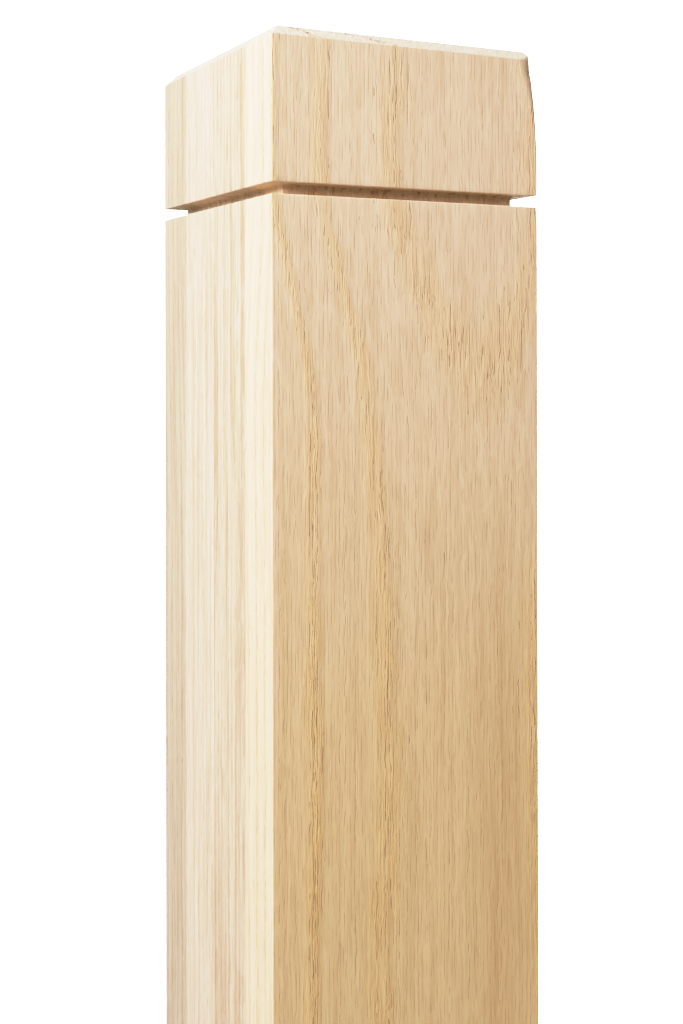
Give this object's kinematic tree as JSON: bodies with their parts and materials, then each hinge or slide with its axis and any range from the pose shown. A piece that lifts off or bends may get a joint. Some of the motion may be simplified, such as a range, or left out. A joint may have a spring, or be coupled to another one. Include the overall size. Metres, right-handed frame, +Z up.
{
  "type": "newel post",
  "caption": "Square laminated oak newel post with a plain bevelled head above a narrow groove that runs round all sides; it carries the end of a stair handrail.",
  "frame": {"origin": "centre of the foot's underside, on the floor", "axes": "+Z up along the post towards its head, -Y out of the front board's wide face, -X out of the side that shows the board edges in the picture"},
  "size_m": [0.0888, 0.0888, 1.2192],
  "materials": {
    "oak_face_board": "bare planed and sanded oak, flat-sawn face outward",
    "oak_core_board": "bare planed and sanded oak, board edge outward"
  },
  "bodies": {
    "root": {"front_board": "oak_face_board", "front_core_board": "oak_core_board", "back_core_board": "oak_core_board", "back_board": "oak_face_board"}
  },
  "joints": []
}
